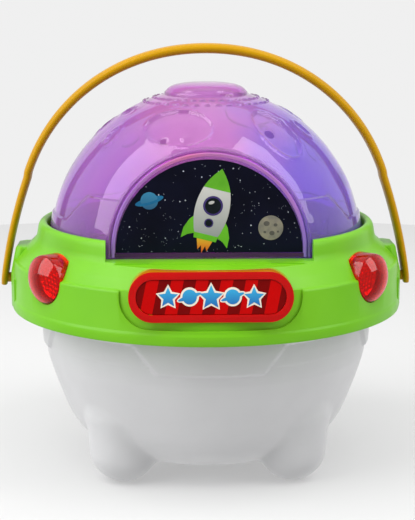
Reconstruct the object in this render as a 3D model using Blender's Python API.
"""Toy carry pail shaped like a round spaceship: a footed bowl, a lift-off lid and a bail handle.

Metres, +Z up, the front looks along -Y. The origin is on the ground under the pail's axis.
The lid is a green deck ring with a tinted dome, a picture window, a nameplate and two lamps.
"""

import math

import bmesh
import bpy
from mathutils import Matrix, Vector

MM = 0.001
GAP = 0.3 * MM  # between pieces that touch
STEPS = 48  # sides of the large turned shapes

# Dome
DOME_R = 96.0 * MM
DOME_Z = 134.0 * MM  # centre of the sphere
DOME_WALL = 2.6 * MM
DOME_FOOT_Z = 131.3 * MM
CAP_R = 25.4 * MM
CAP_TOP_Z = 232.6 * MM
WINDOW_Y = -75.0 * MM  # the flat front of the dome
ARCH_R = 57.5 * MM
ARCH_Z = 143.5 * MM
ARCH_FOOT_Z = 139.1 * MM
PICTURE_R = 52.6 * MM
PICTURE_Z = 141.7 * MM
BOSS_R = 3.8 * MM
BOSS_AT = 90.6 * MM  # distance of the dome's screws from the axis
BOSS_TURNS = (30, 90, 150, 205, 335, 270)  # degrees, -90 is the front
BOSS_TOP_Z = 141.0 * MM

# Deck ring
SHELF_TOP_Z = 131.0 * MM
SHELF_Z = 128.6 * MM
NOTCH_X = 58.0 * MM
LEDGE_Z = 138.8 * MM
LEDGE_R = 97.5 * MM
RING_WALL = 2.2 * MM
RECESS_R = 115.5 * MM
RECESS_X = 50.0 * MM
RECESS_FOOT_Z = 106.5 * MM
EAR_X = 119.0 * MM
EAR_TOP_Z = 134.0 * MM
EAR_ROOT_X = 106.5 * MM  # inside the ring's wall
EAR_HALF = 9.0 * MM  # half the width of the face
EAR_CHEEK = 3.6 * MM  # how far the cheeks slope back
EAR_WIDE, EAR_KNEE_Z = 28.0 * MM, 117.0 * MM  # half the width in the skirt, and up to where
EAR_NARROW, EAR_NARROW_Z = 13.0 * MM, 124.0 * MM

# Nameplate
PLATE_Z = 124.75 * MM
PLATE_HALF = 44.7 * MM
PLATE_END_R = 13.25 * MM
PLATE_TOP_Y = -111.0 * MM  # its flat face leans back
PLATE_FOOT_Y = -117.5 * MM
PLATE_WALL = 3.0 * MM
PLATE_BORDER = 4.0 * MM
PANEL_DEPTH = 1.4 * MM
PLATE_SCREW_TURN = math.radians(15.0)
PLATE_SCREW_Z = 117.5 * MM

# Lamps
LAMP_TURN = math.radians(52.5)  # where the rim's middle is, from the front to each side
LAMP_FACING = math.radians(46.0)  # the lamps look a little more to the front than straight out
LAMP_Z = 126.0 * MM
LAMP_R = 14.0 * MM
LAMP_RIM = 118.0 * MM  # distance of the lens's rim from the axis
LAMP_RISE = 5.8 * MM
LAMP_BACK = 107.3 * MM
LENS_WALL = 1.6 * MM

# Handle
PIVOT_Z = 113.0 * MM
PIN_R = 3.0 * MM
HANDLE_RISE = 139.6 * MM  # centre of the grip above the pivot
HANDLE_ARC_Z = 25.0 * MM
HANDLE_HALF = 114.6 * MM
HANDLE_POWER = 2.07  # 2 is a circle, more is squarer
LEG_TOP = 62.0 * MM
LEG_FOOT = -4.0 * MM
LEG_X = 123.8 * MM  # at the pivot
LEG_SLOPE = 0.14
LEG_BEND = 1.7  # per metre

# Bowl
FOOT_AT = 50.0 * MM
FOOT_R = 20.8 * MM
FOOT_FLAT_ANGLE = -74  # where the round end meets the flat it stands on
FOOT_WAIST = ((22.6 * MM, 40.0 * MM), (20.6 * MM, 48.0 * MM))  # (r, z) where it runs into the bowl

COLOURS = {
    "white": ((0.83, 0.83, 0.84, 1.0), 0.35, 0.0),
    "green": ((0.27, 0.66, 0.09, 1.0), 0.32, 0.0),
    "yellow": ((0.83, 0.47, 0.01, 1.0), 0.30, 0.0),
    "purple": ((0.55, 0.28, 0.75, 0.6), 0.08, 0.0),
    "red": ((0.65, 0.0, 0.01, 0.8), 0.08, 0.0),
    "navy": ((0.01, 0.01, 0.06, 1.0), 0.30, 0.0),
    "stripe": ((0.35, 0.0, 0.0, 1.0), 0.30, 0.0),
    "mirror": ((0.75, 0.75, 0.75, 1.0), 0.15, 1.0),
    "steel": ((0.55, 0.55, 0.56, 1.0), 0.35, 1.0),
}


def clear_scene():
    for obj in list(bpy.data.objects):
        bpy.data.objects.remove(obj, do_unlink=True)


def material(name):
    found = bpy.data.materials.get(name)
    if found:
        return found
    made = bpy.data.materials.new(name)
    made.use_nodes = True
    shader = made.node_tree.nodes["Principled BSDF"]
    colour, roughness, metallic = COLOURS[name]
    shader.inputs["Base Color"].default_value = colour
    shader.inputs["Alpha"].default_value = colour[3]
    shader.inputs["Roughness"].default_value = roughness
    shader.inputs["Metallic"].default_value = metallic
    return made


def make(name, bm, colour=None):
    """An object from a bmesh. Without a colour it is a helper that other shapes are cut or joined with."""
    bmesh.ops.recalc_face_normals(bm, faces=bm.faces)
    mesh = bpy.data.meshes.new(name)
    bm.to_mesh(mesh)
    bm.free()
    obj = bpy.data.objects.new(name, mesh)
    bpy.context.scene.collection.objects.link(obj)
    mesh.shade_smooth()
    mesh.set_sharp_from_angle(angle=math.radians(35))
    if colour:
        mesh.materials.append(material(colour))
    else:
        obj.hide_render = True
        obj.display_type = "WIRE"
    return obj


def combine(target, other, operation):
    step = target.modifiers.new(other.name, "BOOLEAN")
    step.object = other
    step.operation = operation
    step.solver = "EXACT"


def lathe(name, outline, colour=None, steps=STEPS, matrix=None):
    """Turns an outline of (r, z) points about Z. It is closed on itself, or ends on the axis."""
    bm = bmesh.new()
    rings = []
    for r, z in outline:
        if r == 0:
            rings.append([bm.verts.new((0, 0, z))] * steps)
            continue
        turns = (2 * math.pi * (i + 0.5) / steps for i in range(steps))
        rings.append([bm.verts.new((r * math.cos(a), r * math.sin(a), z)) for a in turns])
    pairs = list(zip(rings, rings[1:]))
    if outline[0][0] or outline[-1][0]:
        pairs.append((rings[-1], rings[0]))
    for first, second in pairs:
        for i in range(steps):
            j = (i + 1) % steps
            corners = []
            for vert in (first[i], first[j], second[j], second[i]):
                if vert not in corners:
                    corners.append(vert)
            if len(corners) > 2:
                bm.faces.new(corners)
    if matrix:
        bm.transform(matrix)
    return make(name, bm, colour)


def prism(name, outline, low, high, colour=None, matrix=None):
    """Extrudes an outline of (x, z) points along Y, from low to high."""
    bm = bmesh.new()
    front = [bm.verts.new((x, low, z)) for x, z in outline]
    back = [bm.verts.new((x, high, z)) for x, z in outline]
    bm.faces.new(front)
    bm.faces.new(list(reversed(back)))
    for i in range(len(outline)):
        j = (i + 1) % len(outline)
        bm.faces.new((front[i], back[i], back[j], front[j]))
    if matrix:
        bm.transform(matrix)
    return make(name, bm, colour)


def block(name, low, high, colour=None):
    return prism(name, [(low[0], low[2]), (high[0], low[2]), (high[0], high[2]), (low[0], high[2])],
                 low[1], high[1], colour)


def arc(centre, radius, start, end, count):
    """count + 1 points, angles in degrees from the first axis."""
    angles = [math.radians(start + (end - start) * i / count) for i in range(count + 1)]
    return [(centre[0] + radius * math.cos(a), centre[1] + radius * math.sin(a)) for a in angles]


def in_mm(points):
    return [(r * MM, z * MM) for r, z in points]


def along(direction, origin=(0, 0, 0)):
    """Takes +Z to a direction, from an origin."""
    turn = Vector((0, 0, 1)).rotation_difference(Vector(direction)).to_matrix().to_4x4()
    return Matrix.Translation(origin) @ turn


# Outlines -------------------------------------------------------------------------------


def dome_outline(inset):
    """From the foot up to the axis: a short wall, the sphere and the raised cap."""
    radius = DOME_R - inset
    cap_r = CAP_R - inset
    shoulder = math.degrees(math.acos(cap_r / radius))
    wall = [(radius, DOME_FOOT_Z)] if not inset else [(radius, DOME_FOOT_Z - 9 * MM)]
    sphere = arc((0, DOME_Z), radius, 0, shoulder, 9)
    cap = [(0.74 * CAP_R - inset / 2, CAP_TOP_Z - 2.0 * MM - inset),
           (0.40 * CAP_R, CAP_TOP_Z - 0.4 * MM - inset),
           (0, CAP_TOP_Z - inset)]
    return [(0, wall[0][1])] + wall + sphere + cap


def ring_outside():
    """The visible side of the deck ring, from the lip of the collar down to the skirt's edge."""
    return in_mm([(96.6, 147.4), (97.2, 149.1), (98.6, 149.9), (100.5, 149.4), (101.9, 147.6),
                  (102.7, 144.0), (103.3, 141.0), (104.5, 138.6), (107.6, 135.6), (111.0, 132.3),
                  (115.2, 126.9), (116.9, 126.4), (117.4, 125.2),
                  (118.0, 104.6), (119.0, 103.2), (119.2, 99.0), (118.6, 98.0)])


def ring_inside():
    """From the skirt's edge up to the spigot, under the shelf and up to the collar's lip."""
    return in_mm([(116.9, 98.0), (116.6, 102.6), (115.4, 104.4), (115.2, 124.4),
                  (111.4, 128.8), (105.6, 134.4), (105.6, 108.0), (103.2, 108.0),
                  (103.2, 128.6), (86.0, 128.6), (86.0, 131.0), (96.6, 131.0)])


def groove():
    """The hollow of the collar, open at the bottom."""
    return in_mm([(98.8, 127.0), (98.8, 146.2), (100.4, 146.2), (101.3, 140.2),
                  (103.2, 136.6), (103.2, 127.0)])


def bowl_outside():
    """From the middle of the floor up to the rim."""
    return in_mm([(0, 7.6), (46.0, 8.0), (60.0, 11.2), (70.0, 16.4), (78.4, 23.2), (84.2, 31.4),
                  (87.8, 38.6), (93.3, 54.0), (97.4, 66.4), (98.6, 71.4),
                  (100.6, 75.0), (101.2, 79.0), (101.2, 122.0), (102.8, 124.4), (102.8, 128.2)])


def bowl_inside():
    return in_mm([(100.0, 128.2), (98.8, 121.0), (98.8, 79.0), (95.4, 67.0),
                  (85.8, 39.4), (82.2, 32.4), (76.8, 25.0), (69.0, 18.8),
                   (59.4, 13.8), (45.6, 10.6), (0, 10.2)])


def arch(radius, centre_z, foot_z, sides=28):
    """A round-topped outline with straight legs, as (x, z)."""
    legs = [(-radius, foot_z), (radius, foot_z)]
    if centre_z - foot_z < 0.1 * MM:
        legs = []
    return legs + arc((0, centre_z), radius, 0, 180, sides)


def pill(inset, sides=10):
    """The nameplate's outline, as (x, z)."""
    radius = PLATE_END_R - inset
    middle = PLATE_HALF - PLATE_END_R
    right = arc((middle, PLATE_Z), radius, -90, 90, sides)
    return right + [(-x, z) for x, z in reversed(right)]


# Bowl -------------------------------------------------------------------------------------


def make_bowl(hollow):
    """The pail itself, with its four round feet moulded on, outside its hollow."""
    bowl = lathe("bowl", bowl_outside() + bowl_inside(), "white")
    for i, (side, end) in enumerate(((-1, -1), (1, -1), (-1, 1), (1, 1))):
        at = Matrix.Translation((side * FOOT_AT, end * FOOT_AT, 0))
        round_end = arc((0, FOOT_R), FOOT_R, FOOT_FLAT_ANGLE, 0, 5)
        lift = round_end[0][1]
        round_end = [(r, z - lift) for r, z in round_end]
        outline = [(0, 0)] + round_end + [*FOOT_WAIST, (0, FOOT_WAIST[-1][1])]
        foot = lathe(f"foot_shape_{i}", outline, steps=20, matrix=at)
        combine(foot, hollow, "DIFFERENCE")
        combine(bowl, foot, "UNION")
    return bowl


def make_bowl_hollow():
    """The space inside the bowl, which keeps the feet out of it."""
    above = 180.0 * MM
    return lathe("bowl_hollow_shape", [(100.0 * MM, above)] + bowl_inside() + [(0, above)])


# Deck ring --------------------------------------------------------------------------------


def notch_shapes(grow, name):
    """The window's notch in the collar, as cutters. grow widens it for the hollow behind."""
    wide = NOTCH_X + grow
    inner = block(f"{name}_ledge_shape", (-wide, -LEDGE_R, LEDGE_Z - grow), (wide, -40 * MM, 160 * MM))
    outer = block(f"{name}_front_shape", (-wide, -140 * MM, LEDGE_Z - grow - 0.8 * MM),
                  (wide, -LEDGE_R + 7 * MM, 160 * MM))
    return inner, outer


def ear_outline(root, back, grow):
    """Plan of the +X ear, as (x, y). root is half its width at the ring, back sets its face in."""
    face = EAR_X - back - grow
    half = EAR_HALF - grow
    root -= grow
    cheek = face - EAR_CHEEK
    return [(EAR_ROOT_X, -root), (cheek, -root), (face, -half),
            (face, half), (cheek, root), (EAR_ROOT_X, root)]


def ear_body(name, side, low, high, grow=0.0):
    """A block over the ear's plan, wide in the skirt and narrow over the deck, or the pocket inside it."""
    bm = bmesh.new()
    levels = [(low, EAR_WIDE, 0.0), (EAR_KNEE_Z, EAR_WIDE, 0.0), (EAR_NARROW_Z, EAR_NARROW, 1.2 * MM),
              (high, EAR_NARROW, 3.4 * MM)]
    rings = []
    for z, root, back in levels:
        rings.append([bm.verts.new((side * x, y, z)) for x, y in ear_outline(root, back, grow)])
    bm.faces.new(rings[0])
    bm.faces.new(list(reversed(rings[-1])))
    for lower, upper in zip(rings, rings[1:]):
        for i in range(len(lower)):
            j = (i + 1) % len(lower)
            bm.faces.new((lower[i], lower[j], upper[j], upper[i]))
    return make(name, bm)


def lamp_matrix(side):
    """Takes +Z to the lamp's own axis, with heights along it counted as distances from the middle."""
    rim = Vector((side * math.sin(LAMP_TURN), -math.cos(LAMP_TURN), 0)) * LAMP_RIM
    facing = Vector((side * math.sin(LAMP_FACING), -math.cos(LAMP_FACING), 0))
    return along(facing, rim - facing * LAMP_RIM + Vector((0, 0, LAMP_Z)))


def rod(name, radius, low, high, matrix, steps=24):
    outline = [(0, low), (radius, low), (radius, high), (0, high)]
    return lathe(name, outline, steps=steps, matrix=matrix)


def make_deck_ring():
    """Collar, deck and skirt in one moulding, with the notch, the lamp cups and the handle's ears."""
    ring = lathe("deck_ring", ring_outside() + ring_inside(), "green")
    # Just inside the outer surface, so that what is added behind it doesn't show through.
    within = [(r - 0.6 * MM, z - 0.2 * MM) for r, z in ring_outside()]
    envelope = lathe("ring_envelope_shape", within + [(0, within[-1][1]), (0, within[0][1])])

    # The window's ledge fills the collar where the dome is cut flat, down to the shelf.
    segment = rod("ledge_shape", 98.4 * MM, SHELF_Z, LEDGE_Z - 0.4 * MM, None, STEPS)
    behind = block("ledge_back_shape", (-0.2, WINDOW_Y - 0.4 * MM, 0.05), (0.2, 0.2, 0.2))
    combine(segment, behind, "DIFFERENCE")
    combine(ring, segment, "UNION")
    shelf = rod("front_shelf_shape", 97.4 * MM, SHELF_Z + 0.01 * MM, SHELF_TOP_Z - 0.01 * MM, None, STEPS)
    combine(shelf, block("shelf_back_shape", (-0.2, -70 * MM, 0.05), (0.2, 0.2, 0.2)), "DIFFERENCE")
    combine(ring, shelf, "UNION")

    # A thicker band behind the recess for the nameplate.
    band = lathe("band_shape", in_mm([(112.4, 103.4), (116.0, 103.4), (116.0, 126.0), (112.4, 127.6)]))
    sides = block("band_side_shape", (-RECESS_X - 3 * MM, -0.2, 0.05), (RECESS_X + 3 * MM, 0, 0.2))
    combine(band, sides, "INTERSECT")
    combine(ring, band, "UNION")
    slab = prism("plate_slab_shape", pill(-1.5 * MM), -130 * MM, -90 * MM)
    combine(slab, behind_face("slab_face_shape", PLATE_WALL), "INTERSECT")
    combine(slab, behind_face("slab_back_shape", PLATE_WALL + RING_WALL + GAP), "DIFFERENCE")
    combine(slab, envelope, "INTERSECT")
    combine(ring, slab, "UNION")

    for side, hand in ((-1, "left"), (1, "right")):
        ear = ear_body(f"ear_shape_{hand}", side, 98.2 * MM, EAR_TOP_Z)
        combine(ring, ear, "UNION")
        cup = rod(f"lamp_cup_shape_{hand}", LAMP_R + 2.4 * MM, 104.4 * MM, 125 * MM,
                  lamp_matrix(side), 32)
        combine(cup, envelope, "INTERSECT")
        combine(ring, cup, "UNION")

    for cutter in notch_shapes(0, "notch"):
        combine(ring, cutter, "DIFFERENCE")
    core = lathe("core_shape", groove())
    for cutter in notch_shapes(RING_WALL, "core_notch"):
        combine(core, cutter, "DIFFERENCE")
    combine(ring, core, "DIFFERENCE")
    pocket = rod("ledge_hollow_shape", 100.5 * MM, 120 * MM, LEDGE_Z - 3.2 * MM, None, STEPS)
    pocket_back = block("hollow_back_shape", (-0.2, WINDOW_Y - 2.8 * MM, 0.05), (0.2, 0.2, 0.2))
    combine(pocket, pocket_back, "DIFFERENCE")
    combine(ring, pocket, "DIFFERENCE")

    recess = lathe("recess_shape", [(RECESS_R, 90 * MM), (RECESS_R, 150 * MM),
                                    (130 * MM, 150 * MM), (130 * MM, 90 * MM)])
    corner = 16 * MM
    foot = RECESS_FOOT_Z
    left = arc((-RECESS_X + corner, foot + corner), corner, 180, 270, 6)
    window = prism("recess_front_shape", [(-RECESS_X, 150 * MM)] + left
                   + [(-x, z) for x, z in reversed(left)] + [(RECESS_X, 150 * MM)], -0.2, -60 * MM)
    combine(recess, window, "INTERSECT")
    combine(ring, recess, "DIFFERENCE")
    plate_seat = prism("plate_seat_shape", pill(-GAP), -130 * MM, -90 * MM)
    combine(plate_seat, behind_face("seat_face_shape", PLATE_WALL + GAP), "DIFFERENCE")
    combine(ring, plate_seat, "DIFFERENCE")

    for side, hand in ((-1, "left"), (1, "right")):
        hollow_ear = ear_body(f"ear_hollow_shape_{hand}", side, 90 * MM, EAR_TOP_Z - RING_WALL, RING_WALL)
        combine(ring, hollow_ear, "DIFFERENCE")
        bore = rod(f"ear_bore_shape_{hand}", PIN_R + 0.35 * MM, 110 * MM, 125 * MM,
                   along((side, 0, 0), (0, 0, PIVOT_Z)), 20)
        combine(ring, bore, "DIFFERENCE")
        seat = rod(f"lamp_seat_shape_{hand}", LAMP_R + GAP, LAMP_BACK - GAP, 130 * MM,
                   lamp_matrix(side), 32)
        combine(ring, seat, "DIFFERENCE")
        hole = rod(f"plate_hole_shape_{hand}", 1.7 * MM, 108 * MM, 122 * MM, plate_screw_matrix(side), 12)
        combine(ring, hole, "DIFFERENCE")

    for i, turn in enumerate(BOSS_TURNS):
        hole = rod(f"shelf_hole_shape_{i}", 1.8 * MM, 120 * MM, 136 * MM, boss_matrix(turn), 12)
        combine(ring, hole, "DIFFERENCE")
    return ring


def boss_matrix(turn):
    angle = math.radians(turn)
    reach = BOSS_AT if turn != 270 else 70.5 * MM
    return Matrix.Translation((reach * math.cos(angle), reach * math.sin(angle), 0))


def plate_screw_matrix(side):
    direction = (side * math.sin(PLATE_SCREW_TURN), -math.cos(PLATE_SCREW_TURN), 0)
    return along(direction, (0, 0, PLATE_SCREW_Z))


# Dome and window --------------------------------------------------------------------------


def make_dome():
    """The tinted shell: a sphere cut flat at the front, where an arched frame stands out."""
    dome = lathe("dome", dome_outline(0), "purple")
    front = block("dome_front_shape", (-0.2, -0.2, 0.05), (0.2, WINDOW_Y, 0.3))
    combine(dome, front, "DIFFERENCE")
    face = WINDOW_Y - 0.2 * MM
    outside = prism("arch_shape", arch(ARCH_R, ARCH_Z, ARCH_FOOT_Z), face, -58 * MM)
    combine(dome, outside, "UNION")
    edge = arch(ARCH_R - 0.02 * MM, ARCH_Z, ARCH_FOOT_Z + 0.02 * MM)
    ridge = prism("ridge_shape", edge, face - 1.4 * MM, -74 * MM)
    inner = prism("ridge_inner_shape", arch(ARCH_R - 2.1 * MM, ARCH_Z, 0.1), face - 5 * MM, face)
    combine(ridge, inner, "DIFFERENCE")
    combine(dome, ridge, "UNION")

    hollow_dome = lathe("dome_hollow_shape", dome_outline(DOME_WALL))
    wall_front = block("hollow_front_shape", (-0.2, -0.2, 0.05), (0.2, WINDOW_Y + DOME_WALL, 0.3))
    combine(hollow_dome, wall_front, "DIFFERENCE")
    behind = prism("arch_hollow_shape", arch(ARCH_R - DOME_WALL, ARCH_Z, ARCH_FOOT_Z + 2 * MM),
                   face + DOME_WALL, -52 * MM)
    combine(hollow_dome, behind, "UNION")
    combine(dome, hollow_dome, "DIFFERENCE")

    for i, turn in enumerate(BOSS_TURNS):
        matrix = boss_matrix(turn)
        boss = rod(f"boss_shape_{i}", BOSS_R, DOME_FOOT_Z + 0.01 * MM, BOSS_TOP_Z, matrix, 14)
        combine(dome, boss, "UNION")
        hole = rod(f"boss_hole_shape_{i}", 1.6 * MM, 120 * MM, BOSS_TOP_Z - 1.5 * MM, matrix, 12)
        combine(dome, hole, "DIFFERENCE")
    return dome


def make_window():
    """A thin arched frame, with the printed picture inside it."""
    face = WINDOW_Y - 0.2 * MM - GAP
    rim = arch(ARCH_R - 2.4 * MM, ARCH_Z, ARCH_FOOT_Z + GAP)
    frame = prism("window_frame", rim, face - 1.0 * MM, face, "purple")
    opening = prism("frame_opening_shape", arch(PICTURE_R + GAP, PICTURE_Z, PICTURE_Z), -0.1, -0.05)
    combine(frame, opening, "DIFFERENCE")
    half_disc = arch(PICTURE_R, PICTURE_Z + GAP, PICTURE_Z + GAP)
    prism("window_picture", half_disc, face - 0.5 * MM, face, "navy")


# Nameplate --------------------------------------------------------------------------------


def behind_face(name, depth):
    """All that lies further back than the nameplate's leaning face, set back by a depth."""
    slope = (PLATE_TOP_Y - PLATE_FOOT_Y) / (2 * PLATE_END_R)
    low, high, far = 90 * MM, 160 * MM, 200 * MM
    corners = [(PLATE_FOOT_Y + slope * (z - PLATE_Z + PLATE_END_R) + depth, z) for z in (low, high)]
    corners += [(far, high), (far, low)]
    to_yz = Matrix(((0, 1, 0, 0), (1, 0, 0, 0), (0, 0, 1, 0), (0, 0, 0, 1)))
    return prism(name, corners, -far, far, matrix=to_yz)


def make_nameplate():
    """A red cap over the deck with a striped panel let into its face, held by two screws from behind."""
    bezel = prism("nameplate_bezel", pill(0), -130 * MM, -95 * MM, "red")
    combine(bezel, behind_face("plate_face_shape", 0), "INTERSECT")
    # The deck under the cap, with its clearance and without the skirt's proud step.
    deck = in_mm([(0, 90.0), (115.8, 90.0), (115.8, 127.2), (111.3, 132.7),
                  (107.9, 136.0), (105.0, 138.9), (103.0, 160.0), (0, 160.0)])
    clearance = lathe("deck_clearance_shape", deck)
    combine(clearance, behind_face("clearance_face_shape", PLATE_WALL), "INTERSECT")
    combine(bezel, clearance, "DIFFERENCE")
    hollow_plate = prism("plate_hollow_shape", pill(2.2 * MM), -130 * MM, -90 * MM)
    combine(hollow_plate, behind_face("plate_back_shape", PLATE_WALL), "INTERSECT")
    for side, hand in ((-1, "left"), (1, "right")):
        boss = rod(f"plate_boss_shape_{hand}", 3.4 * MM, 100 * MM, 125 * MM, plate_screw_matrix(side), 12)
        combine(hollow_plate, boss, "DIFFERENCE")
    combine(bezel, hollow_plate, "DIFFERENCE")
    let_in = prism("panel_seat_shape", pill(PLATE_BORDER), -130 * MM, -90 * MM)
    combine(let_in, behind_face("panel_floor_shape", PANEL_DEPTH), "DIFFERENCE")
    combine(bezel, let_in, "DIFFERENCE")

    panel = prism("nameplate_panel", pill(PLATE_BORDER + GAP), -130 * MM, -90 * MM, "stripe")
    combine(panel, behind_face("panel_face_shape", PANEL_DEPTH - 1.0 * MM), "INTERSECT")
    combine(panel, behind_face("panel_back_shape", PANEL_DEPTH - GAP), "DIFFERENCE")

    for side, hand in ((-1, "left"), (1, "right")):
        matrix = plate_screw_matrix(side)
        hole = rod(f"plate_thread_shape_{hand}", 1.35 * MM, 100 * MM, 117.9 * MM, matrix, 12)
        combine(bezel, hole, "DIFFERENCE")
        outline = in_mm([(0, 110.2), (2.2, 110.2), (2.8, 110.8), (2.8, 111.9),
                         (1.05, 111.9), (1.05, 117.6), (0, 117.6)])
        lathe(f"nameplate_screw_{hand}", outline, "steel", 12, matrix)


# Lamps ------------------------------------------------------------------------------------


def make_lamps():
    """Each lamp is a red domed lens over a bright ribbed reflector, pressed into its cup."""
    curve = (LAMP_R ** 2 + LAMP_RISE ** 2) / (2 * LAMP_RISE)
    reach = math.degrees(math.acos(LAMP_R / curve))
    inner_r = LAMP_R - LENS_WALL
    dome = arc((0, LAMP_RIM + LAMP_RISE - curve), curve, reach, 90, 5)
    inner_curve = curve - LENS_WALL
    inner_reach = math.degrees(math.acos(inner_r / inner_curve))
    inner_dome = arc((0, LAMP_RIM + LAMP_RISE - curve), inner_curve, inner_reach, 90, 4)
    dome[-1] = (0, dome[-1][1])
    inner_dome[-1] = (0, inner_dome[-1][1])
    lens_outline = [(0, inner_dome[-1][1])] + list(reversed(inner_dome[:-1]))
    lens_outline += [(inner_r, LAMP_BACK), (LAMP_R, LAMP_BACK)] + dome
    back = LAMP_BACK
    reflector_outline = [(0, back), (inner_r - GAP, back), (inner_r - GAP, back + 4.0 * MM),
                         (10.2 * MM, back + 4.0 * MM), (4.0 * MM, back + 1.8 * MM), (0, back + 1.8 * MM)]
    for side, hand in ((-1, "left"), (1, "right")):
        matrix = lamp_matrix(side)
        lathe(f"lamp_lens_{hand}", lens_outline, "red", 32, matrix)
        lathe(f"lamp_reflector_{hand}", reflector_outline, "mirror", 24, matrix)


# Fasteners and handle ---------------------------------------------------------------------


def make_dome_screws():
    """Pan-head screws up through the shelf into the dome's bosses."""
    outline = in_mm([(0, 126.2), (2.3, 126.2), (3.1, 126.9), (3.1, 128.3),
                     (1.25, 128.3), (1.25, 138.6), (0, 138.6)])
    for i, turn in enumerate(BOSS_TURNS):
        lathe(f"dome_screw_{i + 1}", outline, "steel", 12, boss_matrix(turn))


def handle_path():
    """Centre line of half the handle, from the grip's middle down to the end, as (x, height)."""
    half = HANDLE_HALF
    top = HANDLE_RISE - HANDLE_ARC_Z
    points = []
    count = 18
    for i in range(count + 1):
        angle = math.radians(90 - 90 * i / count)
        x = half * abs(math.cos(angle)) ** (2 / HANDLE_POWER) if i else 0.0
        z = HANDLE_ARC_Z + top * abs(math.sin(angle)) ** (2 / HANDLE_POWER)
        if z < LEG_TOP + 5 * MM:
            break
        points.append((x, z))
    legs = 5
    for i in range(legs + 1):
        z = LEG_TOP + (LEG_FOOT - LEG_TOP) * i / legs
        points.append((LEG_X - LEG_SLOPE * z - LEG_BEND * z * z, z))
    return points


def strap_section(half_width, half_thick):
    """A flat section with rounded edges and a slightly crowned back, as (across, out)."""
    w, t = half_width, half_thick
    return [(-w, 0), (-0.94 * w, 0.6 * t), (-0.75 * w, 0.93 * t), (0, t),
            (0.75 * w, 0.93 * t), (0.94 * w, 0.6 * t), (w, 0),
            (0.94 * w, -0.6 * t), (0.75 * w, -0.93 * t), (-0.75 * w, -0.93 * t), (-0.94 * w, -0.6 * t)]


def make_handle():
    """A yellow bail whose ends turn on moulded pins in the ring's ears."""
    half = handle_path()
    path = [(-x, z) for x, z in reversed(half[1:])] + half
    bm = bmesh.new()
    rings = []
    last = len(path) - 1
    for i, (x, z) in enumerate(path):
        before = Vector(path[max(i - 1, 0)])
        after = Vector(path[min(i + 1, last)])
        tangent = (after - before).normalized()
        out = Vector((-tangent.y, tangent.x))
        share = min(z / HANDLE_RISE, 1.0)
        thick = (2.0 + 1.1 * max(share, 0)) * MM
        wide = (9.0 - 1.5 * max(share, 0)) * MM
        if i in (0, last):
            wide -= 2.2 * MM
        ring = []
        for across, rise in strap_section(wide, thick):
            at = Vector((x, z)) + out * rise
            ring.append(bm.verts.new((at.x, across, at.y)))
        rings.append(ring)
    for lower, upper in zip(rings, rings[1:]):
        for i in range(len(lower)):
            j = (i + 1) % len(lower)
            bm.faces.new((lower[i], lower[j], upper[j], upper[i]))
    bm.faces.new(rings[0])
    bm.faces.new(list(reversed(rings[-1])))
    handle = make("handle", bm, "yellow")
    for side, hand in ((-1, "left"), (1, "right")):
        pin = rod(f"handle_pin_shape_{hand}", PIN_R, 114.4 * MM, 123.0 * MM, along((side, 0, 0)), 20)
        combine(handle, pin, "UNION")
    handle.location.z = PIVOT_Z
    for child in bpy.data.objects:
        if child.name.startswith("handle_pin_shape"):
            child.location.z = PIVOT_Z
    return handle


clear_scene()
make_bowl(make_bowl_hollow())
make_deck_ring()
make_dome()
make_window()
make_nameplate()
make_lamps()
make_dome_screws()
make_handle()
